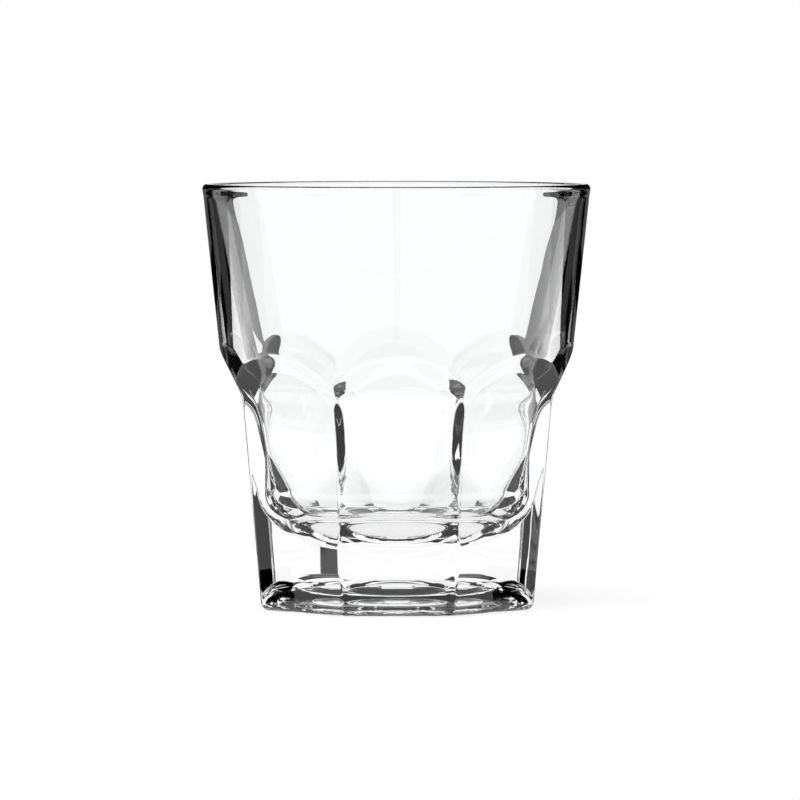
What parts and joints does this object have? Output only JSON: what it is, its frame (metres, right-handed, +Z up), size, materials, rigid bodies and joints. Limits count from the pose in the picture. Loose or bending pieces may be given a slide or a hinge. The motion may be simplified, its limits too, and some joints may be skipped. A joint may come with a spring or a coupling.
{
  "type": "rocks glass",
  "caption": "Heavy clear pressed rocks glass: round flared mouth above a sloping shoulder, flat panelled lower wall, thick solid foot with a hollowed underside.",
  "frame": {"origin": "middle of the face the glass stands on", "axes": "+Z up along the axis towards the mouth; the middle of one flat panel faces -Y and another faces +X"},
  "size_m": [0.084, 0.084, 0.0915],
  "materials": {
    "glass": "clear, fire-polished"
  },
  "bodies": {
    "root": {"tumbler": "glass"}
  },
  "joints": []
}
